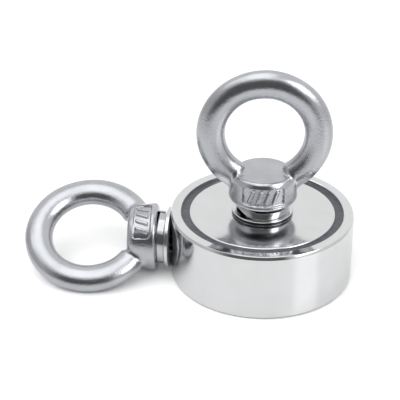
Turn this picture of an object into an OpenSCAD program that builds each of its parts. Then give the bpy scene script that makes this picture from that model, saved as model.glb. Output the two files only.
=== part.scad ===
// Double-sided retrieval magnet with two screw-in lifting eyebolts.
// The round steel body lies on its lower face: the origin is the centre of that face, +Z is up,
// one eyebolt stands on the axis and the other leaves the side wall towards -X.

/* [Body] */
// Diameter of the steel body
body_d = 48; // [46:1:60]
// Height of the steel body
body_h = 18.4; // [18.4:0.1:24]
// Diameter of the round pocket in each face
pocket_d = 42.6; // [41:0.1:44]
// Depth of the round pocket in each face
pocket_depth = 4.4; // [4.2:0.1:4.8]
// Width across the rim of the chamfer on the outer edges of the body
body_chamfer_w = 0.35; // [0.1:0.05:0.8]
// Height of that chamfer on the wall
body_chamfer_h = 0.75; // [0.2:0.05:1.5]

/* [Magnets] */
// Diameter of each ring magnet
magnet_d = 38.2; // [34:0.1:39]
// Diameter of the hole in each ring magnet
magnet_hole_d = 10; // [9:0.5:12]
// How far a magnet face lies below the rim
magnet_recess = 0.3; // [0.1:0.1:0.8]
// Rounding of the edges of a magnet
magnet_edge_r = 0.35; // [0.2:0.05:0.6]
// Thickness of the glue film under each magnet
glue_t = 0.1; // [0.05:0.05:0.3]
// How far the potting resin lies below the rim
resin_recess = 1.0; // [0.6:0.1:2]

/* [Eyebolts] */
// Middle diameter of the ring, through the middle of its stock
ring_mid_d = 27.5; // [26:0.1:30]
// Radial thickness of the ring stock
ring_stock = 7.3; // [6:0.1:7.4]
// Width of the ring stock along the eye
ring_w = 6; // [5:0.1:8]
// Height of the ring centre above the seat of the collar
ring_h = 18.15; // [17.65:0.05:19]
// Diameter of the collar at its seat
collar_d = 18; // [17:0.5:20]
// Diameter of the collar at its upper end
collar_top_d = 16.6; // [15:0.1:17]
// Thickness of the collar
collar_t = 7.7; // [7:0.1:8.5]
// Chamfer on the upper edge of the collar
collar_top_c = 1.1; // [0.2:0.1:1.3]
// Chamfer on the lower edge of the collar
collar_bottom_c = 0.6; // [0.2:0.1:1]
// Nominal diameter of the thread
thread_d = 8; // [8:1:8]
// Length of the threaded shank below the collar
shank_l = 16; // [14:0.5:17]

/* [Washers] */
// Outer diameter of the flat washers
flat_d = 16; // [15:0.5:17]
// Thickness of the flat washers
flat_t = 1; // [0.8:0.1:1.8]
// Outer diameter of the spring washers
spring_d = 14; // [13:0.1:14.8]
// Thickness of the spring washer stock
spring_t = 2; // [1.6:0.1:2.2]
// Height of the slack spring washer under the upright eyebolt
top_spring_h = 3.4; // [2.6:0.1:3.6]
// Height of the slack spring washer behind the side eyebolt
side_spring_h = 2.5; // [2.3:0.1:3.6]

/* [Eyebolt attitudes] */
// Turn of the upright ring away from facing straight forward
upright_turn = 1.5; // [-90:0.5:90]
// Slope of the side ring, its front edge lowest
side_slope = 26; // [0:0.1:26]

/* [Hidden] */
$fn = 96;
ARC_STEPS = 6;
RING_SECTION_STEPS = 40;
SPRING_STEPS = 60;

bore_clearance = 0.05;
bore_r = thread_d / 2 + bore_clearance;
bore_tip_room = 2;
tip_chamfer = 0.8;
washer_hole_d = 8.4;
flat_edge_r = 0.6;
spring_gap_deg = 7;
spring_rise_deg = 60;
top_spring_end = 198;
side_spring_end = 53;

// The mark plate: a shallow sunk panel with raised slanting bars
plate_w = 11;
plate_h = 4.6;
plate_corner_r = 0.9;
plate_depth = 0.35;
plate_reach = 5;
bar_w = 0.8;
bar_pitch = 2.1;
bar_lean = 20;
bar_count = 4;

body_r = body_d / 2;
mid_z = body_h / 2;
magnet_t = pocket_depth - magnet_recess - glue_t;
upper_face_z = body_h - magnet_recess;
top_seat_z = upper_face_z + flat_t + top_spring_h;
side_seat_x = body_r + flat_t + side_spring_h;
side_bore_depth = body_r + shank_l - side_seat_x + bore_tip_room;

// Points of an arc about [x, y], from angle a0 to angle a1
function arc(x, y, r, a0, a1) =
    [for (i = [0:ARC_STEPS]) let (a = a0 + (a1 - a0) * i / ARC_STEPS) [x + r * cos(a), y + r * sin(a)]];

// Half section of a disc from z = 0 to t with an inner radius and rounded outer edges
function disc_section(r_in, r_out, t, low_r, high_r) = concat(
    [[r_in, 0]],
    arc(r_out - low_r, low_r, low_r, -90, 0),
    arc(r_out - high_r, t - high_r, high_r, 0, 90),
    [[r_in, t]]
);

// Things on the upper face: local +Z is up, local -Y is the front of the eye
module upright(z) {
    translate([0, 0, z]) rotate([0, 0, upright_turn]) children();
}

// Things on the side wall: local +Z leaves the wall at -X, local -Y is the upper side of the eye
module sideways(distance) {
    translate([-distance, 0, mid_z]) rotate([side_slope - 90, 0, 0]) rotate([0, -90, 0]) children();
}

// The same thing turned over within its own height h
module turned_over(h) {
    translate([0, 0, h]) rotate([180, 0, 0]) children();
}

// The same thing on the lower face as on the upper one
module on_lower_face() {
    translate([0, 0, body_h]) mirror([0, 0, 1]) children();
}

// Half section of the steel body before it is bored, with both outer edges chamfered
module body_section() {
    rim_r = body_r - body_chamfer_w;
    polygon([
        [0, 0], [rim_r, 0], [body_r, body_chamfer_h],
        [body_r, body_h - body_chamfer_h], [rim_r, body_h], [0, body_h]
    ]);
}

module pot_body() {
    color([0.86, 0.87, 0.88]) difference() {
        rotate_extrude() body_section();
        for (z = [-1, body_h - pocket_depth]) translate([0, 0, z]) cylinder(d = pocket_d, h = pocket_depth + 1);
        translate([0, 0, -1]) cylinder(r = bore_r, h = body_h + 2);
        translate([-body_r - 1, 0, mid_z]) rotate([0, 90, 0]) cylinder(r = bore_r, h = side_bore_depth + 1);
    }
}

module magnet() {
    color([0.84, 0.85, 0.86]) translate([0, 0, upper_face_z - magnet_t]) difference() {
        rotate_extrude() polygon(disc_section(0, magnet_d / 2, magnet_t, magnet_edge_r, magnet_edge_r));
        translate([0, 0, -1]) cylinder(d = magnet_hole_d, h = magnet_t + 2);
    }
}

module glue_film() {
    color([0.75, 0.72, 0.6]) translate([0, 0, body_h - pocket_depth]) difference() {
        cylinder(d = magnet_d, h = glue_t);
        translate([0, 0, -1]) cylinder(d = magnet_hole_d, h = glue_t + 2);
    }
}

module resin_ring() {
    color([0.35, 0.36, 0.4]) translate([0, 0, body_h - pocket_depth]) difference() {
        cylinder(d = pocket_d, h = pocket_depth - resin_recess);
        translate([0, 0, -1]) cylinder(d = magnet_d, h = pocket_depth);
    }
}

// The conical collar, shrunk all round by inset
module collar(inset = 0) {
    low_r = collar_d / 2 - inset;
    high_r = collar_top_d / 2 - inset;
    rotate_extrude() polygon([
        [0, 0], [low_r - collar_bottom_c, 0], [low_r, collar_bottom_c],
        [high_r, collar_t - collar_top_c], [high_r - collar_top_c, collar_t], [0, collar_t]
    ]);
}

module shank() {
    translate([0, 0, -shank_l]) cylinder(r1 = thread_d / 2 - tip_chamfer, r2 = thread_d / 2, h = tip_chamfer);
    translate([0, 0, tip_chamfer - shank_l]) cylinder(d = thread_d, h = shank_l - tip_chamfer + 1);
}

module ring() {
    section = [for (i = [0:RING_SECTION_STEPS - 1]) let (a = 360 * i / RING_SECTION_STEPS)
        [ring_mid_d / 2 + ring_stock / 2 * cos(a), ring_w / 2 * sin(a)]];
    translate([0, 0, ring_h]) rotate([90, 0, 0]) rotate_extrude() polygon(section);
}

// Outline of the mark plate's sunk part: a rounded panel less its slanting bars
module plate_outline() {
    dx = plate_w / 2 - plate_corner_r;
    dy = plate_h / 2 - plate_corner_r;
    difference() {
        union() {
            square([plate_w, 2 * dy], center = true);
            square([2 * dx, plate_h], center = true);
            for (x = [-dx, dx]) for (y = [-dy, dy]) translate([x, y]) circle(r = plate_corner_r);
        }
        for (i = [0:bar_count - 1]) translate([(i - (bar_count - 1) / 2) * bar_pitch, 0])
            rotate(-bar_lean) square([bar_w, plate_h - 1.4], center = true);
    }
}

module plate_cut() {
    intersection() {
        translate([0, -plate_reach, collar_t / 2]) rotate([90, 0, 0])
            linear_extrude(collar_d) plate_outline();
        difference() {
            cylinder(d = collar_d + 2, h = collar_t);
            collar(plate_depth);
        }
    }
}

module eyebolt() {
    color([0.72, 0.73, 0.75]) difference() {
        union() {
            shank();
            collar();
            ring();
        }
        plate_cut();
    }
}

module flat_washer() {
    color([0.8, 0.81, 0.82]) difference() {
        rotate_extrude() polygon(disc_section(0, flat_d / 2, flat_t, flat_edge_r, flat_edge_r / 4));
        translate([0, 0, -1]) cylinder(d = washer_hole_d, h = flat_t + 2);
    }
}

// How far a spring washer of height h has risen after a turn of so many degrees from its low end
function spring_rise(h, turn) =
    let (share = max(0, 1 - (360 - spring_gap_deg - turn) / spring_rise_deg))
        (h - spring_t) * share * share * (3 - 2 * share);

// A slack spring washer: square stock that lies flat and then lifts over the last of its turn to a free end
module spring_washer(h, low_end) {
    points = [for (i = [0:SPRING_STEPS])
        let (turn = (360 - spring_gap_deg) * i / SPRING_STEPS, a = low_end - turn, z = spring_rise(h, turn))
            for (corner = [[0, 0], [1, 0], [1, 1], [0, 1]])
                let (r = corner[0] == 0 ? washer_hole_d / 2 : spring_d / 2)
                    [r * cos(a), r * sin(a), z + spring_t * corner[1]]];
    sides = [for (i = [0:SPRING_STEPS - 1]) for (k = [0:3])
        let (n = (k + 1) % 4) [4 * i + k, 4 * i + 4 + k, 4 * i + 4 + n, 4 * i + n]];
    last = 4 * SPRING_STEPS;
    ends = [[0, 1, 2, 3], [last + 3, last + 2, last + 1, last]];
    color([0.6, 0.61, 0.63]) polyhedron(points, concat(sides, ends));
}

// Its free end lifts towards the collar
module top_spring_washer() {
    upright(upper_face_z + flat_t) spring_washer(top_spring_h, top_spring_end);
}

// Its free end drops away from the collar, towards the flat washer
module side_spring_washer() {
    sideways(body_r + flat_t) turned_over(side_spring_h) spring_washer(side_spring_h, side_spring_end);
}

pot_body();
magnet();  // upper_magnet
on_lower_face() magnet();  // lower_magnet
glue_film();  // upper_glue_film
on_lower_face() glue_film();  // lower_glue_film
resin_ring();  // upper_resin_ring
on_lower_face() resin_ring();  // lower_resin_ring
upright(top_seat_z) eyebolt();  // top_eyebolt
top_spring_washer();
upright(upper_face_z) flat_washer();  // top_flat_washer
sideways(side_seat_x) eyebolt();  // side_eyebolt
side_spring_washer();
sideways(body_r) flat_washer();  // side_flat_washer
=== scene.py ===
import math

import bmesh
import bpy
import numpy as np
from mathutils import Matrix, Vector


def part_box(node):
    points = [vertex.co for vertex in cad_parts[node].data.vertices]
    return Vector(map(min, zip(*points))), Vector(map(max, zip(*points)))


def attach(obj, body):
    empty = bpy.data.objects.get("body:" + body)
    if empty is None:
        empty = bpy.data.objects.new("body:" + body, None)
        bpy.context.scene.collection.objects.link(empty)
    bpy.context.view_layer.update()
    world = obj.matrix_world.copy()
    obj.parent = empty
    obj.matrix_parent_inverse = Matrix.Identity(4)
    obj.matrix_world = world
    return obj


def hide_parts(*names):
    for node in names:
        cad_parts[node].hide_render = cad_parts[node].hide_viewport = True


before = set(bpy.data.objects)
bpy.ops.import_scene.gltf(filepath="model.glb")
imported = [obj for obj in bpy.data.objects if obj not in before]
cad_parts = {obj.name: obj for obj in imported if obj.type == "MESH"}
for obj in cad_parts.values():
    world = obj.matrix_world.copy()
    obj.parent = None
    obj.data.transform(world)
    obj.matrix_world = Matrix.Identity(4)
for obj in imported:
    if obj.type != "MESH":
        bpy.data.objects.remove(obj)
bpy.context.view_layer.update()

MM = 0.001

# ---------------------------------------------------------------- sizes, in millimetres


def box_mm(node):
    """The lowest and highest corners of a CAD node."""
    low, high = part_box(node)
    return np.array(low) / MM, np.array(high) / MM


# Read from the frame
POT_HIGH = box_mm("pot_body")[1]
MAGNET_LOW, MAGNET_HIGH = box_mm("upper_magnet")
RESIN_LOW, RESIN_HIGH = box_mm("upper_resin_ring")
FLAT_LOW, FLAT_HIGH = box_mm("top_flat_washer")
SPRING_HIGH = box_mm("top_spring_washer")[1]
BOLT_LOW, BOLT_HIGH = box_mm("top_eyebolt")
SIDE_SPRING_LOW = box_mm("side_spring_washer")[0]

POT_R = POT_HIGH[0]
POT_H = POT_HIGH[2]
MID_Z = POT_H / 2
POCKET_R = RESIN_HIGH[0]
WEB_TOP = RESIN_LOW[2]  # the web is the steel between the two pockets
WEB_LOW = POT_H - WEB_TOP
MAGNET_R = MAGNET_HIGH[0]
FACE_Z = MAGNET_HIGH[2]  # the upper magnet's face
RESIN_Z = RESIN_HIGH[2]
FLAT_R = FLAT_HIGH[0]
FLAT_T = FLAT_HIGH[2] - FLAT_LOW[2]
SPRING_R = SPRING_HIGH[0]
SEAT_Z = SPRING_HIGH[2]  # where the upright eyebolt's collar sits
SIDE_SEAT_X = -SIDE_SPRING_LOW[0]  # how far out the side eyebolt's collar sits
SHANK_L = SEAT_Z - BOLT_LOW[2]

# The round body
BORE_R = 4.05
BORE_MOUTH = 0.7  # the countersink of the thread in the web
SIDE_BORE_DEPTH = 14.5
CHAMFER_W = 0.35  # the chamfer round the upper face
FOOT_CHAMFER_W = 0.6  # and round the lower one
CHAMFER_H = 0.75
CHAMFER_WALL_ROUND = 0.3  # radius where the chamfer meets the wall
CHAMFER_RIM_ROUND = 0.1  # and where it meets the rim
POCKET_LIP = 0.15

# The magnets and the resin around them
MAGNET_HOLE_R = 5.0
MAGNET_EDGE = 0.35
MAGNET_HOLE_EDGE = 0.3
RESIN_CREEP = 0.28  # how far the resin climbs its walls
RESIN_SWELL = 0.035
RESIN_RIPPLE = 0.02

# The washers
WASHER_HOLE_R = 4.2
WASHER_LEAN = math.radians(4)
WALL_SKIN = 0.15  # how far inside its radius a face of a washer's wall may lie
SPRING_T = 2.0
SPRING_CORNER = 0.25
SPRING_RISE_DEG = 60  # the last part of the turn, over which a slack spring washer lifts
SPLIT_LEAN = math.tan(math.radians(25))

# The eyebolt
RING_R = 13.75  # to the middle of its stock
RING_HALF_T = 3.65
RING_HALF_W = 3.0
RING_H = BOLT_HIGH[2] - RING_R - RING_HALF_T - SEAT_Z  # the ring's middle above the collar's foot
RING_LONG_WAVE = 0.035
RING_SHORT_WAVE = 0.015
COLLAR_R = 9.0
COLLAR_TOP_R = 8.3
COLLAR_T = 7.7
COLLAR_SHOULDER_W = 0.9
COLLAR_SHOULDER_H = 1.6
COLLAR_FOOT = 0.6
LEG_GAP_HALF_W = 5.0  # the ring is cut away between its two legs, just above the collar
LEG_GAP_FLARE = 0.2
LEG_GAP_TOP = 12.0
LEG_GAP_ROUND = 0.5
FILLET = 1.1
UPRIGHT_TURN = math.radians(1.5)
SIDE_SLOPE = math.radians(26)

# Its thread; the crest and the flanks are shares of the pitch
THREAD_R = 4.0
THREAD_CLEARANCE = 0.02
THREAD_DEPTH = 0.7
THREAD_PITCH = 1.25
THREAD_CREST = 0.12
THREAD_FLANKS = 0.7
NUT_DEPTH = THREAD_DEPTH * 0.8  # of the thread in the web
TIP_CHAMFER = 0.8
NECK_TOP = 2.0  # how far the shank reaches up into the collar
RUN_OUT_TOP = -0.6  # the thread fades out between these heights
RUN_OUT_LOW = -2.0

# The mark plate on its collar
PLATE_HALF_W = 5.3
PLATE_HALF_H = 2.3
PLATE_CORNER = 0.9
PLATE_DEPTH = 0.5
PLATE_SOFTNESS = 0.12  # half the width of its slopes
BAR_HALF_W = 0.4
BAR_HALF_H = 1.6
BAR_CORNER = 0.3
BAR_PITCH = 2.1
BAR_RISE = 0.9  # share of the plate's depth
BAR_LEAN = math.tan(math.radians(20))
BAR_COUNT = 4

# How finely the meshes are made, and where the eyebolt's mesh is finer
LATHE_STEPS = 256
WASHER_STEPS = 128
SPRING_STEPS = 180
WALL_ROWS = 14
BORE_ROWS = 100
ROUND_STEPS = 96
CAST_VOXEL = 0.24
CORE_INSET = 0.3
CORE_STOCK = RING_HALF_T * 0.9
DETAIL_HALF_W = 6.2
DETAIL_FRONT = -4
DETAIL_LOW = 0.8
DETAIL_HIGH = 7.1
DETAIL_SHANK_TOP = -0.4

# ---------------------------------------------------------------- mesh helpers


def make_object(name, verts, faces, sharp_deg=35):
    """A smooth-shaded object from points in millimetres; edges sharper than sharp_deg stay crisp."""
    mesh = bpy.data.meshes.new(name)
    mesh.from_pydata([tuple(v * MM for v in p) for p in verts], [], faces)
    mesh.update()
    obj = bpy.data.objects.new(name, mesh)
    bpy.context.scene.collection.objects.link(obj)
    clean(obj)
    shade(obj, sharp_deg)
    return obj


def clean(obj, distance=0.002):
    """Joins points that lie together and turns every face outwards."""
    bm = bmesh.new()
    bm.from_mesh(obj.data)
    bmesh.ops.remove_doubles(bm, verts=bm.verts, dist=distance * MM)
    bmesh.ops.dissolve_degenerate(bm, edges=bm.edges, dist=distance * MM)
    bmesh.ops.recalc_face_normals(bm, faces=bm.faces)
    bm.to_mesh(obj.data)
    bm.free()


def shade(obj, sharp_deg):
    """Smooth shading, with crisp edges where faces meet more sharply than sharp_deg."""
    obj.data.shade_smooth()
    obj.data.set_sharp_from_angle(angle=math.radians(sharp_deg))


def apply_modifiers(obj):
    """Turns what the modifiers make into the mesh itself."""
    graph = bpy.context.evaluated_depsgraph_get()
    mesh = bpy.data.meshes.new_from_object(obj.evaluated_get(graph))
    obj.modifiers.clear()
    obj.data = mesh


def arc(x, y, r, a0, a1, steps):
    """Points of an arc in a profile, angles in degrees."""
    angles = np.radians(np.linspace(a0, a1, steps + 1))
    return [(x + r * math.cos(a), y + r * math.sin(a)) for a in angles]


def round_corner(before, corner, after, r, steps=4):
    """Points of the arc of radius r that takes the corner off a profile."""
    p, q, s = (np.array(v, float) for v in (before, corner, after))
    back = (p - q) / np.linalg.norm(p - q)
    on = (s - q) / np.linalg.norm(s - q)
    half = math.acos(back @ on) / 2
    middle = q + (back + on) / np.linalg.norm(back + on) * r / math.sin(half)
    start = q + back * r / math.tan(half) - middle
    stop = q + on * r / math.tan(half) - middle
    turn = math.pi - 2 * half
    return [
        tuple(middle + (math.sin((1 - t) * turn) * start + math.sin(t * turn) * stop) / math.sin(turn))
        for t in np.linspace(0, 1, steps + 1)
    ]


def line(a, b, steps):
    """Points from a to b without b itself."""
    return [tuple(np.array(a) + (np.array(b) - np.array(a)) * i / steps) for i in range(steps)]


def ring_faces(rows, steps):
    """Faces between rings of points, one ring after the other, where the last ring joins the first."""
    faces = []
    for i in range(rows):
        n = (i + 1) % rows
        for k in range(steps):
            m = (k + 1) % steps
            faces.append((i * steps + k, i * steps + m, n * steps + m, n * steps + k))
    return faces


def lathe(name, profile, sharp_deg=35, steps=LATHE_STEPS, wobble=None):
    """A closed profile of (radius, height) turned about Z.

    wobble(angle, radius, height) is added to a point's height.
    """
    angles = np.linspace(0, 2 * math.pi, steps, endpoint=False)
    verts = []
    for r, z in profile:
        for a in angles:
            dz = wobble(a, r, z) if wobble else 0
            verts.append((r * math.cos(a), r * math.sin(a), z + dz))
    return make_object(name, verts, ring_faces(len(profile), steps), sharp_deg)


def place_upright(obj, z):
    """Stands a piece on the upper face, its own zero at height z."""
    obj.data.transform(Matrix.Translation((0, 0, z * MM)) @ Matrix.Rotation(UPRIGHT_TURN, 4, "Z"))


def place_sideways(obj, distance):
    """Lays a piece along -X on the body's side, its own zero at that distance from the middle."""
    slope = Matrix.Rotation(SIDE_SLOPE - math.pi / 2, 4, "X")
    lay = Matrix.Rotation(-math.pi / 2, 4, "Y")
    obj.data.transform(Matrix.Translation((-distance * MM, 0, MID_Z * MM)) @ slope @ lay)


def lean_on_wall(obj):
    """Rocks a loose washer on the round wall, its back edge towards the body."""
    edge = Matrix.Translation((-POT_R * MM, 0, 0))
    obj.data.transform(edge @ Matrix.Rotation(-WASHER_LEAN, 4, "Z") @ edge.inverted())


def turn_over(obj, height):
    """Turns a piece upside down within its own height."""
    obj.data.transform(Matrix.Translation((0, 0, height * MM)) @ Matrix.Rotation(math.pi, 4, "X"))


def flip_to_lower_face(obj):
    """Turns a piece of the upper face over about the body's middle height, onto the lower face."""
    middle = Matrix.Translation((0, 0, MID_Z * MM))
    obj.data.transform(middle @ Matrix.Rotation(math.pi, 4, "X") @ middle.inverted())


def finish_piece(obj, body, node, material):
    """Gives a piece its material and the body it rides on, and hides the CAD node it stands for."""
    obj.data.materials.clear()
    obj.data.materials.append(material)
    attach(obj, body)
    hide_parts(node)


def repaint(obj, material, wanted):
    """Gives a finished piece a second material, on the faces for which wanted(face) is true."""
    obj.data.materials.append(material)
    for face in obj.data.polygons:
        if wanted(face):
            face.material_index = 1


# ---------------------------------------------------------------- the round body and its magnets


def thread_wave(angle, z):
    """Depth share, 0 at the crest and 1 at the root, of a right-hand V thread with flats."""
    turn = (z / THREAD_PITCH - angle / (2 * math.pi)) % 1.0
    ramp = np.abs(turn - 0.5) * 2
    return np.clip((ramp - THREAD_CREST) / THREAD_FLANKS, 0, 1)


def pot_profile(chamfer_w):
    """Half the body's outline, from its wall over the rim and down the pocket to the mouth of the bore."""
    low_edge = (POT_R, POT_H - CHAMFER_H)
    high_edge = (POT_R - chamfer_w, POT_H)
    rim_point = (POCKET_R + POCKET_LIP, POT_H)
    lip_point = (POCKET_R, POT_H - POCKET_LIP)
    pocket_point = (POCKET_R, WEB_TOP)
    mouth_point = (BORE_R + BORE_MOUTH, WEB_TOP)
    half = round_corner((POT_R, MID_Z), low_edge, high_edge, CHAMFER_WALL_ROUND)
    half += round_corner(low_edge, high_edge, rim_point, CHAMFER_RIM_ROUND)
    half += line(half[-1], rim_point, 4)[1:]
    half += [rim_point]
    half += line(lip_point, pocket_point, 4)
    return half + line(pocket_point, mouth_point, 6)


def build_pot():
    """The body: both halves of its outline turned about Z, and between them the thread through its web."""
    upper = pot_profile(CHAMFER_W)
    lower = [(r, POT_H - z) for r, z in reversed(pot_profile(FOOT_CHAMFER_W))]
    wall = line(lower[-1], upper[0], WALL_ROWS)[1:]
    outside = lower + wall + upper
    angles = np.linspace(0, 2 * math.pi, LATHE_STEPS, endpoint=False)
    verts = [(r * math.cos(a), r * math.sin(a), z) for r, z in outside for a in angles]
    crest = THREAD_R - NUT_DEPTH
    for z in np.linspace(WEB_TOP, WEB_LOW, BORE_ROWS):
        mouth = BORE_R + BORE_MOUTH - min(WEB_TOP - z, z - WEB_LOW)
        radius = BORE_R - (BORE_R - crest) * (1 - thread_wave(angles + math.pi, z))
        radius = np.maximum(radius, mouth)
        verts += [(r * math.cos(a), r * math.sin(a), z) for r, a in zip(radius, angles, strict=True)]
    pot = make_object("pot_shell", verts, ring_faces(len(outside) + BORE_ROWS, LATHE_STEPS))
    drill_side(pot)
    return pot


def drill_side(pot):
    """Drills the hole for the side eyebolt, with a drill that starts outside the wall."""
    outside = 2
    length = SIDE_BORE_DEPTH + outside
    bpy.ops.mesh.primitive_cylinder_add(
        vertices=ROUND_STEPS, radius=BORE_R * MM, depth=length * MM,
        location=((SIDE_BORE_DEPTH - POT_R - length / 2) * MM, 0, MID_Z * MM), rotation=(0, math.pi / 2, 0))
    drill = bpy.context.object
    cut = pot.modifiers.new("side_bore", "BOOLEAN")
    cut.operation = "DIFFERENCE"
    cut.solver = "EXACT"
    cut.object = drill
    apply_modifiers(pot)
    bpy.data.objects.remove(drill)
    shade(pot, 35)


def build_magnet(name):
    """A plated ring magnet with rounded edges."""
    low = MAGNET_LOW[2]
    outer = MAGNET_R - MAGNET_EDGE
    inner = MAGNET_HOLE_R + MAGNET_HOLE_EDGE
    profile = arc(outer, FACE_Z - MAGNET_EDGE, MAGNET_EDGE, 0, 90, 8)
    profile += line((outer, FACE_Z), (inner, FACE_Z), 8)[1:]
    profile += arc(inner, FACE_Z - MAGNET_HOLE_EDGE, MAGNET_HOLE_EDGE, 90, 180, 5)
    profile += [(MAGNET_HOLE_R, low), (outer, low)]
    profile += arc(outer, low + MAGNET_EDGE, MAGNET_EDGE, -90, 0, 5)[1:]
    return lathe(name, profile)


def build_resin(name):
    """Potting resin: it creeps up both walls and its surface is gently uneven."""
    width = POCKET_R - MAGNET_R
    profile = [(MAGNET_R, WEB_TOP), (POCKET_R, WEB_TOP)]
    profile += [
        (POCKET_R - width * u, RESIN_Z + RESIN_CREEP * (2 * u - 1) ** 4) for u in np.linspace(0, 1, 13)
    ]

    def wobble(a, r, z):
        if z == WEB_TOP:
            return 0
        swell = RESIN_SWELL * math.sin(7 * a + 1.0) * math.sin(3 * a)
        return swell + RESIN_RIPPLE * math.sin(23 * a + 2.0 * r)

    return lathe(name, profile, wobble=wobble)


def build_on_both_faces(build, name, node, material):
    """The same piece for the upper face and, turned over, for the lower one."""
    for side in ("upper", "lower"):
        piece = build(f"{side}_{name}")
        if side == "lower":
            flip_to_lower_face(piece)
        finish_piece(piece, "magnet", f"{side}_{node}", material)


# ---------------------------------------------------------------- washers


def build_flat_washer(name):
    """A punched washer: its lower edge is crisp and its upper edge is rolled."""
    low_r = 0.1
    high_r = 0.25
    hole_edge = 0.1
    profile = [(WASHER_HOLE_R + hole_edge, 0)]
    profile += arc(FLAT_R - low_r, low_r, low_r, -90, 0, 8)
    profile += arc(FLAT_R - high_r, FLAT_T - high_r, high_r, 0, 90, 5)
    profile += [(WASHER_HOLE_R + hole_edge, FLAT_T)]
    profile += [(WASHER_HOLE_R, FLAT_T - hole_edge), (WASHER_HOLE_R, hole_edge)]
    return lathe(name, profile, sharp_deg=50, steps=WASHER_STEPS)


# The faces picked here get the near-black painted shade, which copies the shadow in the gap under the
# washer's rim
def on_outer_wall(face):
    """Whether a face of the top flat washer is on its outer wall, below the rolled edge."""
    nearly_level = 0.35
    radius = math.hypot(face.center.x, face.center.y)
    return radius > (FLAT_R - WALL_SKIN) * MM and abs(face.normal.z) < nearly_level


def looks_at_body(face):
    """Whether a face of the side flat washer is turned towards the body."""
    return face.normal.x > 0.5


def build_spring_washer(name, climb, low_end, gap):
    """Rounded stock that lies flat and lifts by climb over the last of its turn.

    low_end is the direction of its lower end and gap the width of its split, both in degrees.
    """
    inner = WASHER_HOLE_R + SPRING_CORNER
    outer = SPRING_R - SPRING_CORNER
    low = SPRING_CORNER
    high = SPRING_T - SPRING_CORNER
    section = []
    for x, z, a in ((outer, low, -90), (outer, high, 0), (inner, high, 90), (inner, low, 180)):
        section += arc(x, z, SPRING_CORNER, a, a + 90, 4)
    verts = []
    for turn in np.linspace(0, 360 - gap, SPRING_STEPS + 1):
        rise = climb * smooth_step(360 - gap - SPRING_RISE_DEG, 360 - gap, turn)
        for r, z in section:
            a = math.radians(low_end - turn) + SPLIT_LEAN * (z - SPRING_T / 2) / SPRING_R
            verts.append((r * math.cos(a), r * math.sin(a), z + rise))
    n = len(section)
    faces = [
        (i * n + k, (i + 1) * n + k, (i + 1) * n + (k + 1) % n, i * n + (k + 1) % n)
        for i in range(SPRING_STEPS) for k in range(n)
    ]
    faces += [tuple(range(n)), tuple(SPRING_STEPS * n + k for k in range(n - 1, -1, -1))]
    return make_object(name, verts, faces, sharp_deg=40)


# ---------------------------------------------------------------- the eyebolt, as one cast shape


def smooth_step(low, high, value):
    t = np.clip((value - low) / (high - low), 0, 1)
    return t * t * (3 - 2 * t)


def smooth_union(a, b, k):
    """The union of two distances, with its inner corner filled over a width of about k."""
    h = np.clip(0.5 + 0.5 * (b - a) / k, 0, 1)
    return b + (a - b) * h - k * h * (1 - h)


def smooth_common(a, b, k):
    """What two distances have in common, with its edge rounded over a width of about k."""
    return -smooth_union(-a, -b, k)


def rounded_box_distance(x, y, half_x, half_y, corner):
    """Distance outside a flat rectangle with round corners."""
    qx = np.abs(x) - half_x + corner
    qy = np.abs(y) - half_y + corner
    return np.hypot(np.maximum(qx, 0), np.maximum(qy, 0)) + np.minimum(np.maximum(qx, qy), 0) - corner


def beyond_line(r, z, a, b):
    """Distance outside the line from a to b of a profile, whose inside is on its left."""
    dr = b[0] - a[0]
    dz = b[1] - a[1]
    return ((r - a[0]) * dz - (z - a[1]) * dr) / math.hypot(dr, dz)


def plate_relief(p):
    """How far the collar's front is sunk at each point: the mark plate and its raised slanting bars."""
    across = p[:, 0]
    up = p[:, 2] - COLLAR_T / 2
    plate = rounded_box_distance(across, up, PLATE_HALF_W, PLATE_HALF_H, PLATE_CORNER)
    sunk = smooth_step(PLATE_SOFTNESS, -PLATE_SOFTNESS, plate)
    raised = np.zeros(len(p))
    for i in range(BAR_COUNT):
        middle = (i - (BAR_COUNT - 1) / 2) * BAR_PITCH + up * BAR_LEAN
        bar = rounded_box_distance(across - middle, up, BAR_HALF_W, BAR_HALF_H, BAR_CORNER)
        raised = np.maximum(raised, smooth_step(PLATE_SOFTNESS, -PLATE_SOFTNESS, bar))
    front = p[:, 1] < 0
    return PLATE_DEPTH * sunk * (1 - BAR_RISE * raised) * front


def ring_distance(p):
    """Signed distance, nearly, to the ring: oval stock, uneven as a casting is, cut away between its feet."""
    x, y, z = p[:, 0], p[:, 1], p[:, 2] - RING_H
    around = np.arctan2(z, x)
    uneven = RING_LONG_WAVE * np.sin(3 * around + 0.7)
    uneven += RING_SHORT_WAVE * np.sin(7 * around + y * 0.5)
    tiny = 1e-9
    u = np.hypot(x, z) - RING_R
    q = np.sqrt((u / RING_HALF_T) ** 2 + (y / RING_HALF_W) ** 2) + tiny
    slope = np.sqrt((u / RING_HALF_T**2) ** 2 + (y / RING_HALF_W**2) ** 2) / q + tiny
    gap_side = np.abs(x) - LEG_GAP_HALF_W - LEG_GAP_FLARE * y**2
    gap_top = p[:, 2] - LEG_GAP_TOP
    between_feet = np.maximum(gap_side, gap_top)
    return smooth_common((q - 1) / slope + uneven, -between_feet, LEG_GAP_ROUND)


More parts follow.
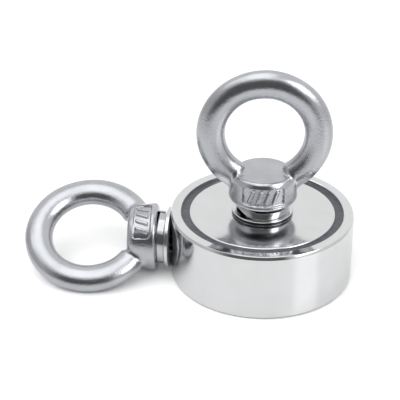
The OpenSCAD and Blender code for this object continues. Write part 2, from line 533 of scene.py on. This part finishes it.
def collar_distance(p):
    """The collar: a little conical, with a sloping shoulder under its flat top."""
    r = np.hypot(p[:, 0], p[:, 1])
    z = p[:, 2]
    foot_in = (COLLAR_R - COLLAR_FOOT, 0)
    foot = (COLLAR_R, COLLAR_FOOT)
    shoulder = (COLLAR_TOP_R, COLLAR_T - COLLAR_SHOULDER_H)
    top = (COLLAR_TOP_R - COLLAR_SHOULDER_W, COLLAR_T)
    collar = beyond_line(r, z, foot, shoulder) + plate_relief(p)
    # Each cut comes with the width over which its edge is rounded
    cuts = (
        (beyond_line(r, z, foot_in, foot), 0.5),
        (beyond_line(r, z, shoulder, top), 0.4),
        (z - COLLAR_T, 0.7),
        (-z, 0.4),
    )
    for cut, width in cuts:
        collar = smooth_common(collar, cut, width)
    return collar


def shank_distance(p):
    """The threaded shank, with its chamfered tip, a run-out and a plain neck under the collar."""
    r = np.hypot(p[:, 0], p[:, 1])
    z = p[:, 2]
    angle = np.arctan2(p[:, 1], p[:, 0])
    cut = thread_wave(angle, z + SHANK_L) * smooth_step(RUN_OUT_TOP, RUN_OUT_LOW, z)
    radius = THREAD_R - THREAD_CLEARANCE - THREAD_DEPTH * cut
    radius = np.minimum(radius, THREAD_R - TIP_CHAMFER + (z + SHANK_L))
    middle = (NECK_TOP - SHANK_L) / 2
    half = (NECK_TOP + SHANK_L) / 2
    return np.maximum(r - radius, np.abs(z - middle) - half)


def eyebolt_distance(p):
    """Signed distance, nearly, to the whole eyebolt, whose own zero is the middle of its collar's foot."""
    head = smooth_union(ring_distance(p), collar_distance(p), FILLET)
    return np.minimum(head, shank_distance(p))


def needs_detail(c):
    """Whether a face with its middle at c is near the mark plate, or on the shank."""
    in_front = c.y < DETAIL_FRONT and abs(c.x) < DETAIL_HALF_W
    near_plate = in_front and DETAIL_LOW < c.z < DETAIL_HIGH
    return near_plate or c.z < DETAIL_SHANK_TOP


def gradient(field, p, step=0.01):
    """The slope of a field of distances at each point, along X, Y and Z."""
    g = np.zeros_like(p)
    for axis in range(3):
        move = np.zeros(3)
        move[axis] = step
        g[:, axis] = (field(p + move) - field(p - move)) / (2 * step)
    return g


def settle(field, p, rounds, most=0.25):
    """Moves points onto the surface where the field is zero, by no more than most in a round."""
    least_slope = 0.25
    for _ in range(rounds):
        g = gradient(field, p)
        step = field(p) / np.maximum((g * g).sum(1), least_slope)
        p = p - np.clip(step, -most, most)[:, None] * g
    return p


def relax(p, edges, share):
    """Moves each point towards the middle of its neighbours."""
    total = np.zeros_like(p)
    count = np.zeros(len(p))
    for a, b in ((0, 1), (1, 0)):
        np.add.at(total, edges[:, a], p[edges[:, b]])
        np.add.at(count, edges[:, a], 1)
    return p + share * (total / count[:, None] - p)


def settle_mesh(obj, rounds):
    """Draws a mesh onto the eyebolt's surface, and evens out its points over a number of rounds."""
    mesh = obj.data
    p = np.zeros(len(mesh.vertices) * 3)
    mesh.vertices.foreach_get("co", p)
    p = p.reshape(-1, 3) / MM
    edges = np.zeros(len(mesh.edges) * 2, int)
    mesh.edges.foreach_get("vertices", edges)
    edges = edges.reshape(-1, 2)
    for _ in range(rounds):
        p = settle(eyebolt_distance, p, 2)
        p = relax(p, edges, 0.5)
    p = settle(eyebolt_distance, p, 4)
    mesh.vertices.foreach_set("co", (p * MM).ravel())
    mesh.update()


def refine(obj, wanted):
    """Splits the faces whose middle, in millimetres, is wanted."""
    bm = bmesh.new()
    bm.from_mesh(obj.data)
    edges = {e for f in bm.faces if wanted(f.calc_center_median() / MM) for e in f.edges}
    bmesh.ops.subdivide_edges(bm, edges=list(edges), cuts=1, use_grid_fill=True)
    bm.to_mesh(obj.data)
    bm.free()


def build_eyebolt():
    """The eyebolt's mesh: a coarse union of its solids, refined and drawn onto the cast shape."""
    bpy.ops.mesh.primitive_torus_add(
        major_radius=RING_R * MM, minor_radius=CORE_STOCK * MM, major_segments=ROUND_STEPS, minor_segments=32,
        location=(0, 0, RING_H * MM), rotation=(math.pi / 2, 0, 0))
    cores = [bpy.context.object]
    for r, low, high in ((COLLAR_R, 0, COLLAR_T), (THREAD_R, -SHANK_L, 1)):
        bpy.ops.mesh.primitive_cylinder_add(
            vertices=ROUND_STEPS, radius=(r - CORE_INSET) * MM, depth=(high - low) * MM,
            location=(0, 0, (low + high) / 2 * MM))
        cores.append(bpy.context.object)
    for core in cores:
        core.select_set(True)
    bpy.context.view_layer.objects.active = cores[0]
    bpy.ops.object.join()
    bolt = bpy.context.object
    bpy.ops.object.transform_apply(location=True, rotation=True, scale=True)
    remesh = bolt.modifiers.new("skin", "REMESH")
    remesh.mode = "VOXEL"
    remesh.voxel_size = CAST_VOXEL * MM
    apply_modifiers(bolt)
    settle_mesh(bolt, 3)
    refine(bolt, needs_detail)
    settle_mesh(bolt, 2)
    shade(bolt, 60)
    return bolt


# ---------------------------------------------------------------- materials

MOTTLE_SCALE = 160
SMEAR_SCALE = 620


class Nodes:
    """A short way to write a node tree. Scales of noises are per metre."""

    def __init__(self, tree):
        self.tree = tree
        tree.nodes.clear()

    def add(self, kind, inputs=None, **settings):
        node = self.tree.nodes.new(kind)
        for name, value in settings.items():
            setattr(node, name, value)
        for name, value in (inputs or {}).items():
            socket = node.inputs[name]
            if isinstance(value, bpy.types.NodeSocket):
                self.tree.links.new(value, socket)
            else:
                socket.default_value = value
        return node

    def place(self):
        """Where a point is on the object, in metres."""
        return self.add("ShaderNodeTexCoord").outputs["Object"]

    def noise(self, vector, scale, detail=3.0, roughness=0.5):
        inputs = {"Vector": vector, "Scale": scale, "Detail": detail, "Roughness": roughness}
        return self.add("ShaderNodeTexNoise", inputs).outputs["Fac"]

    def remap(self, value, low, high, to_low, to_high, **settings):
        inputs = {"Value": value, "From Min": low, "From Max": high, "To Min": to_low, "To Max": to_high}
        return self.add("ShaderNodeMapRange", inputs, **settings).outputs["Result"]

    def spread(self, noise, to_low, to_high, reach=0.2):
        """Stretches a noise, which mostly stays within reach of 0.5, over a range."""
        return self.remap(noise, 0.5 - reach, 0.5 + reach, to_low, to_high)

    def blend(self, factor, a, b):
        """A colour between a and b."""
        mix = self.add("ShaderNodeMix", data_type="RGBA")
        self.tree.links.new(factor, mix.inputs[0])
        mix.inputs[6].default_value = (*a, 1)
        mix.inputs[7].default_value = (*b, 1)
        return mix.outputs[2]

    def bump(self, height, distance, strength, normal=None):
        inputs = {"Height": height, "Distance": distance * MM, "Strength": strength}
        if normal is not None:
            inputs["Normal"] = normal
        return self.add("ShaderNodeBump", inputs).outputs["Normal"]

    def surface(self, shader):
        self.add("ShaderNodeOutputMaterial", {"Surface": shader.outputs[0]})


def new_material(name):
    """A material and its node tree, still empty."""
    material = bpy.data.materials.new(name)
    material.use_nodes = True
    return material, Nodes(material.node_tree)


def metal(name, light, dark, rough, grain=None, waves=None):
    """A plated or bare metal, mottled from light to dark. rough is (least, most).

    grain is (scale, height in mm, strength) of a fine bump; waves is (scale, height in mm) of a slow one.
    """
    material, n = new_material(name)
    place = n.place()
    mottle = n.noise(place, MOTTLE_SCALE, 4)
    smear = n.noise(place, SMEAR_SCALE, 5, 0.6)
    colour = n.blend(n.spread(mottle, 0, 1), light, dark)
    roughness = n.spread(smear, *rough)
    inputs = {"Base Color": colour, "Metallic": 1.0, "Roughness": roughness}
    normal = None
    if waves:
        scale, height = waves
        normal = n.bump(n.noise(place, scale, 2), height, 1.0)
    if grain:
        scale, height, strength = grain
        normal = n.bump(n.noise(place, scale, 3, 0.6), height, strength, normal)
    if normal is not None:
        inputs["Normal"] = normal
    n.surface(n.add("ShaderNodeBsdfPrincipled", inputs))
    return material


def resin_material():
    """Dark grey potting resin, satin, with a fine orange-peel skin."""
    material, n = new_material("potting_resin")
    place = n.place()
    cloud = n.spread(n.noise(place, 900, 4), 0, 1, reach=0.15)
    inputs = {
        "Base Color": n.blend(cloud, (0.05, 0.052, 0.064), (0.085, 0.088, 0.105)),
        "Roughness": n.spread(n.noise(place, 1400, 3), 0.28, 0.42),
        "Normal": n.bump(n.noise(place, 1100, 4, 0.55), 0.05, 0.6),
        "IOR": 1.5,
    }
    n.surface(n.add("ShaderNodeBsdfPrincipled", inputs))
    return material


def glue_material():
    """Cured adhesive, yellowish and cloudy."""
    material, n = new_material("glue_film")
    cloud = n.noise(n.place(), 500, 3)
    colour = n.blend(cloud, (0.5, 0.46, 0.34), (0.62, 0.58, 0.45))
    n.surface(n.add("ShaderNodeBsdfPrincipled", {"Base Color": colour, "Roughness": 0.5}))
    return material


# ---------------------------------------------------------------- the studio, in metres

TABLE_FRONT = -0.15
TABLE_BACK = 1.5
TABLE_HALF_W = 0.9

# The camera; its angles are in radians
CAMERA_DISTANCE = 0.350
CAMERA_RISE = 0.5225
CAMERA_YAW = -0.0539
CAMERA_PITCH = 0.516
CAMERA_ROLL = 0.0043
LENS_MM = 120.06


def floor_material():
    """White, lit as a table is, and a little brighter to the camera, so that it meets the backdrop."""
    material, n = new_material("pale_floor")
    seen = n.add("ShaderNodeLightPath").outputs["Is Camera Ray"]
    matt = n.add("ShaderNodeBsdfDiffuse", {"Color": n.blend(seen, (0.88, 0.88, 0.88), (1.11, 1.11, 1.11))})
    gloss = n.add("ShaderNodeBsdfGlossy", {"Roughness": 0.18})
    share = n.add("ShaderNodeFresnel", {"IOR": 1.42})
    n.surface(n.add("ShaderNodeMixShader", {0: share.outputs[0], 1: matt.outputs[0], 2: gloss.outputs[0]}))
    return material


def build_table():
    """A white table top, whose front edge lies below the camera's view."""
    corners = (
        (-TABLE_HALF_W, TABLE_FRONT, 0),
        (TABLE_HALF_W, TABLE_FRONT, 0),
        (TABLE_HALF_W, TABLE_BACK, 0),
        (-TABLE_HALF_W, TABLE_BACK, 0),
    )
    mesh = bpy.data.meshes.new("floor")
    mesh.from_pydata(corners, [], [(0, 1, 2, 3)])
    floor = bpy.data.objects.new("floor", mesh)
    bpy.context.scene.collection.objects.link(floor)
    mesh.materials.append(floor_material())


class Sky(Nodes):
    """The studio's brightness by direction, in degrees.

    Azimuth 0 is the front and 90 the right; elevation 90 is overhead.
    """

    def __init__(self, tree):
        super().__init__(tree)
        way = self.add("ShaderNodeTexCoord").outputs["Generated"]
        self.x, self.y, self.z = self.add("ShaderNodeSeparateXYZ", {0: way}).outputs
        front = self.math("MULTIPLY", self.y, -1.0)
        self.azimuth = self.math("DEGREES", self.math("ARCTAN2", self.x, front))
        self.elevation = self.math("DEGREES", self.math("ARCSINE", self.z))

    def math(self, operation, a, b=0.0):
        return self.add("ShaderNodeMath", {0: a, 1: b}, operation=operation).outputs[0]

    def ease(self, value, low, high, at_low, at_high):
        return self.remap(value, low, high, at_low, at_high, interpolation_type="SMOOTHSTEP")

    def window(self, value, low, high, soft_low, soft_high):
        """1 from low to high and 0 outside, with soft ends."""
        rise = self.ease(value, low - soft_low, low + soft_low, 0.0, 1.0)
        fall = self.ease(value, high - soft_high, high + soft_high, 1.0, 0.0)
        return self.math("MULTIPLY", rise, fall)

    def patch(self, azimuths, elevations):
        """1 inside a patch of the sky and 0 outside.

        Each range is (low, high, softness at low, softness at high).
        """
        across = self.window(self.azimuth, *azimuths)
        return self.math("MULTIPLY", across, self.window(self.elevation, *elevations))

    def towards(self, base, patch, level):
        """The base outside a patch, and the level inside it."""
        return self.add("ShaderNodeMix", {0: patch, 2: base, 3: level}, data_type="FLOAT").outputs[0]


def build_world():
    """A white backdrop for the camera, a studio for reflections, and soft light from above for the rest."""
    world = bpy.data.worlds.new("studio")
    bpy.context.scene.world = world
    world.use_nodes = True
    n = Sky(world.node_tree)

    # The big soft box overhead, a rectangle on a ceiling one unit up
    across = n.window(n.math("DIVIDE", n.x, n.z), -0.55, 0.24, 0.04, 0.04)
    along = n.window(n.math("DIVIDE", n.y, n.z), -0.7, 0.36, 0.04, 0.04)
    above = n.ease(n.z, 0.1, 0.2, 0.0, 1.0)
    box = n.math("MULTIPLY", n.math("MULTIPLY", across, along), above)

    left_room = n.patch((-128, -20, 14, 20), (-60, 34, 5, 10))
    right_room = n.patch((28, 118, 14, 20), (-60, 26, 5, 10))
    dark_front = n.patch((-50, 34, 16, 9), (-60, 43, 5, 6))
    left_strip = n.patch((-106, -78, 5, 5), (38, 62, 4, 4))
    right_box = n.patch((44, 76, 5, 5), (18, 50, 6, 5))
    studio = n.towards(1.0, left_room, 0.62)
    studio = n.towards(studio, right_room, 0.8)
    studio = n.towards(studio, dark_front, 0.13)
    studio = n.towards(studio, left_strip, 1.7)
    studio = n.towards(studio, right_box, 4.6)
    studio = n.towards(studio, box, 1.85)

    soft = n.towards(0.66, box, 1.45)
    soft = n.towards(soft, n.patch((-100, 40, 20, 20), (35, 72, 8, 8)), 2.8)

    path = n.add("ShaderNodeLightPath")
    level = n.towards(soft, path.outputs["Is Glossy Ray"], studio)
    level = n.towards(level, path.outputs["Is Camera Ray"], 1.1)
    back = n.add("ShaderNodeBackground", {"Color": (1, 1, 1, 1), "Strength": level})
    n.add("ShaderNodeOutputWorld", {"Surface": back.outputs[0]})


def build_camera():
    """The camera looks down at the object from a little under 30 degrees above the upper face."""
    back = CAMERA_DISTANCE * math.cos(CAMERA_RISE)
    rise = CAMERA_DISTANCE * math.sin(CAMERA_RISE)
    place = Vector((0, -back, POT_H * MM + rise))
    level = math.cos(CAMERA_PITCH)
    ahead = Vector((math.sin(CAMERA_YAW) * level, math.cos(CAMERA_YAW) * level, -math.sin(CAMERA_PITCH)))
    right = ahead.cross(Vector((0, 0, 1))).normalized()
    up = right.cross(ahead)
    x = right * math.cos(CAMERA_ROLL) + up * math.sin(CAMERA_ROLL)
    y = up * math.cos(CAMERA_ROLL) - right * math.sin(CAMERA_ROLL)
    data = bpy.data.cameras.new("camera")
    data.sensor_width = 36
    data.lens = LENS_MM
    data.clip_start = 0.01
    data.clip_end = 20
    camera = bpy.data.objects.new("camera", data)
    camera.matrix_world = Matrix.Translation(place) @ Matrix((x, y, -ahead)).transposed().to_4x4()
    bpy.context.scene.collection.objects.link(camera)
    bpy.context.scene.camera = camera


# ---------------------------------------------------------------- putting it together

build_camera()
build_table()
build_world()

plate = metal(
    "bright_plate", light=(0.71, 0.715, 0.72), dark=(0.68, 0.685, 0.69), rough=(0.05, 0.09),
    waves=(90, 0.01))
magnet_plate = metal(
    "magnet_plate", light=(0.70, 0.705, 0.71), dark=(0.67, 0.675, 0.68), rough=(0.12, 0.17),
    waves=(120, 0.01))
cast = metal(
    "cast_stainless", light=(0.50, 0.51, 0.535), dark=(0.43, 0.44, 0.465), rough=(0.09, 0.17),
    grain=(2400, 0.07, 0.9))
spring_steel = metal(
    "spring_steel", light=(0.56, 0.565, 0.58), dark=(0.46, 0.465, 0.48), rough=(0.06, 0.12),
    grain=(1500, 0.008, 0.3))
washer_steel = metal(
    "washer_steel", light=(0.70, 0.705, 0.71), dark=(0.62, 0.625, 0.63), rough=(0.1, 0.18),
    grain=(1800, 0.01, 0.3))
blank_face = metal(
    "blank_face", light=(0.66, 0.665, 0.67), dark=(0.56, 0.565, 0.57), rough=(0.45, 0.6),
    grain=(1800, 0.02, 0.5))
# Near-black painted shade, not a colour of the steel: it copies the shadow in the gap under the top flat
# washer's rim
gap_shade_paint = metal(
    "painted_gap_shade", light=(0.05, 0.05, 0.055), dark=(0.025, 0.025, 0.03), rough=(0.2, 0.35),
    grain=(2400, 0.02, 0.5))
resin = resin_material()
glue = glue_material()

finish_piece(build_pot(), "magnet", "pot_body", plate)
build_on_both_faces(build_magnet, "magnet_disc", "magnet", magnet_plate)
build_on_both_faces(build_resin, "resin", "resin_ring", resin)
for name in ("upper_glue_film", "lower_glue_film"):
    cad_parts[name].data.materials.clear()
    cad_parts[name].data.materials.append(glue)

washer = build_flat_washer("top_washer_flat")
place_upright(washer, FACE_Z)
finish_piece(washer, "magnet", "top_flat_washer", washer_steel)
# The top flat washer's outer wall gets the near-black painted shade of the gap under its rim
repaint(washer, gap_shade_paint, on_outer_wall)
washer = build_flat_washer("side_washer_flat")
place_sideways(washer, POT_R)
lean_on_wall(washer)
finish_piece(washer, "magnet", "side_flat_washer", washer_steel)
repaint(washer, blank_face, looks_at_body)

slack = SEAT_Z - FACE_Z - FLAT_T
coil = build_spring_washer("top_washer_spring", climb=slack - SPRING_T, low_end=198, gap=4)
place_upright(coil, FACE_Z + FLAT_T)
finish_piece(coil, "top_washer", "top_spring_washer", spring_steel)
slack = SIDE_SEAT_X - POT_R - FLAT_T
coil = build_spring_washer("side_washer_spring", climb=slack - SPRING_T, low_end=53, gap=7)
turn_over(coil, slack)
place_sideways(coil, POT_R + FLAT_T)
finish_piece(coil, "side_washer", "side_spring_washer", spring_steel)

upright_bolt = build_eyebolt()
upright_bolt.name = "eyebolt_upright"
side_bolt = bpy.data.objects.new("eyebolt_sideways", upright_bolt.data.copy())
bpy.context.scene.collection.objects.link(side_bolt)
place_upright(upright_bolt, SEAT_Z)
finish_piece(upright_bolt, "top_eye", "top_eyebolt", cast)
place_sideways(side_bolt, SIDE_SEAT_X)
finish_piece(side_bolt, "side_eye", "side_eyebolt", cast)

bpy.context.scene.view_settings.view_transform = "Standard"
